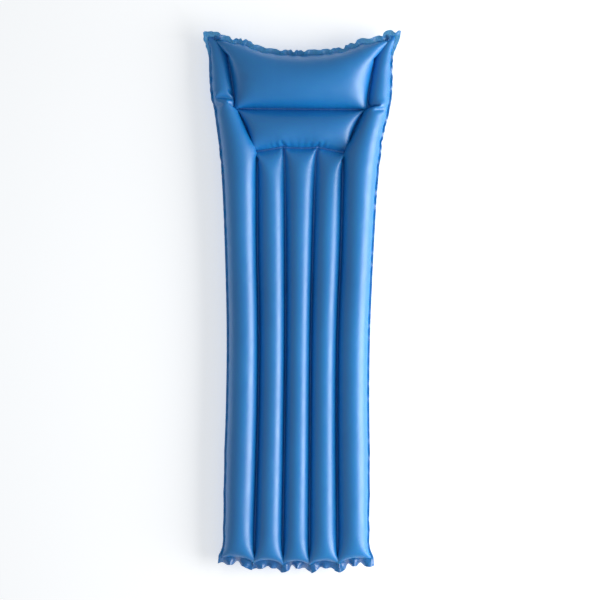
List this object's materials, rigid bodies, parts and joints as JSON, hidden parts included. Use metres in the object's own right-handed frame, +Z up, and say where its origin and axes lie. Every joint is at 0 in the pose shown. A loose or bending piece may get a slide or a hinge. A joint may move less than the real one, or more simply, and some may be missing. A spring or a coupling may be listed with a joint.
{
  "type": "inflatable pool air mat",
  "caption": "Inflatable vinyl float mat with lengthwise air tubes, a two-lobed head pillow and a flat welded border.",
  "frame": {"origin": "on the floor under the middle of the mat's outline", "axes": "+Y from the foot to the head (the pillow end), +Z up out of the lying side, +X to the right of someone lying on their back"},
  "size_m": [0.62, 1.7256, 0.1088],
  "materials": {
    "blue_vinyl": "soft matte vinyl film with a fine grain",
    "welded_vinyl": "two vinyl films welded flat, slightly darker and smoother",
    "clear_valve": "soft translucent valve vinyl"
  },
  "bodies": {
    "mat": {"side_tube_left": "blue_vinyl", "side_tube_right": "blue_vinyl", "pillow_arm_left": "blue_vinyl", "pillow_arm_right": "blue_vinyl", "inner_tube_left": "blue_vinyl", "centre_tube": "blue_vinyl", "inner_tube_right": "blue_vinyl", "foot_air_passage": "blue_vinyl", "pillow_upper_lobe": "blue_vinyl", "pillow_lower_lobe": "blue_vinyl", "pillow_middle_weld": "welded_vinyl", "pillow_foot_weld": "welded_vinyl", "pillow_side_weld_left": "welded_vinyl", "pillow_side_weld_right": "welded_vinyl", "tube_weld_1": "welded_vinyl", "tube_weld_2": "welded_vinyl", "tube_weld_3": "welded_vinyl", "tube_weld_4": "welded_vinyl", "side_border_left": "welded_vinyl", "side_border_right": "welded_vinyl", "head_border": "welded_vinyl", "foot_border": "welded_vinyl", "pillow_valve_ring": "clear_valve", "pillow_valve_diaphragm": "clear_valve", "body_valve_ring": "clear_valve", "body_valve_diaphragm": "clear_valve"},
    "pillow_stem": {"pillow_valve_stem": "clear_valve", "pillow_valve_strap": "clear_valve"},
    "pillow_plug": {"pillow_valve_plug": "clear_valve"},
    "pillow_flap": {"pillow_valve_flap": "clear_valve"},
    "body_stem": {"body_valve_stem": "clear_valve", "body_valve_strap": "clear_valve"},
    "body_plug": {"body_valve_plug": "clear_valve"},
    "body_flap": {"body_valve_flap": "clear_valve"}
  },
  "joints": [
    {"name": "pillow_stem_slide", "type": "slide", "parent": "mat", "child": "pillow_stem", "axis": [0, 0, -1], "range_m": [0, 0.014], "deforming": ["pillow_valve_diaphragm"]},
    {"name": "pillow_plug_hinge", "type": "hinge", "parent": "pillow_stem", "child": "pillow_plug", "pos_m": [-0.1696, 0.70719, 0.0006], "axis": [0, -1, 0], "range_deg": [0, 160]},
    {"name": "pillow_flap_hinge", "type": "hinge", "parent": "pillow_stem", "child": "pillow_flap", "pos_m": [-0.1834, 0.70719, 0.0163], "axis": [0, -1, 0], "range_deg": [0, 70], "stiffness_Nm_per_rad": 0.00002},
    {"name": "body_stem_slide", "type": "slide", "parent": "mat", "child": "body_stem", "axis": [0, 0, -1], "range_m": [0, 0.014], "deforming": ["body_valve_diaphragm"]},
    {"name": "body_plug_hinge", "type": "hinge", "parent": "body_stem", "child": "body_plug", "pos_m": [0.1784, -0.56481, 0.0006], "axis": [0, -1, 0], "range_deg": [0, 160]},
    {"name": "body_flap_hinge", "type": "hinge", "parent": "body_stem", "child": "body_flap", "pos_m": [0.1646, -0.56481, 0.0163], "axis": [0, -1, 0], "range_deg": [0, 70], "stiffness_Nm_per_rad": 0.00002}
  ]
}
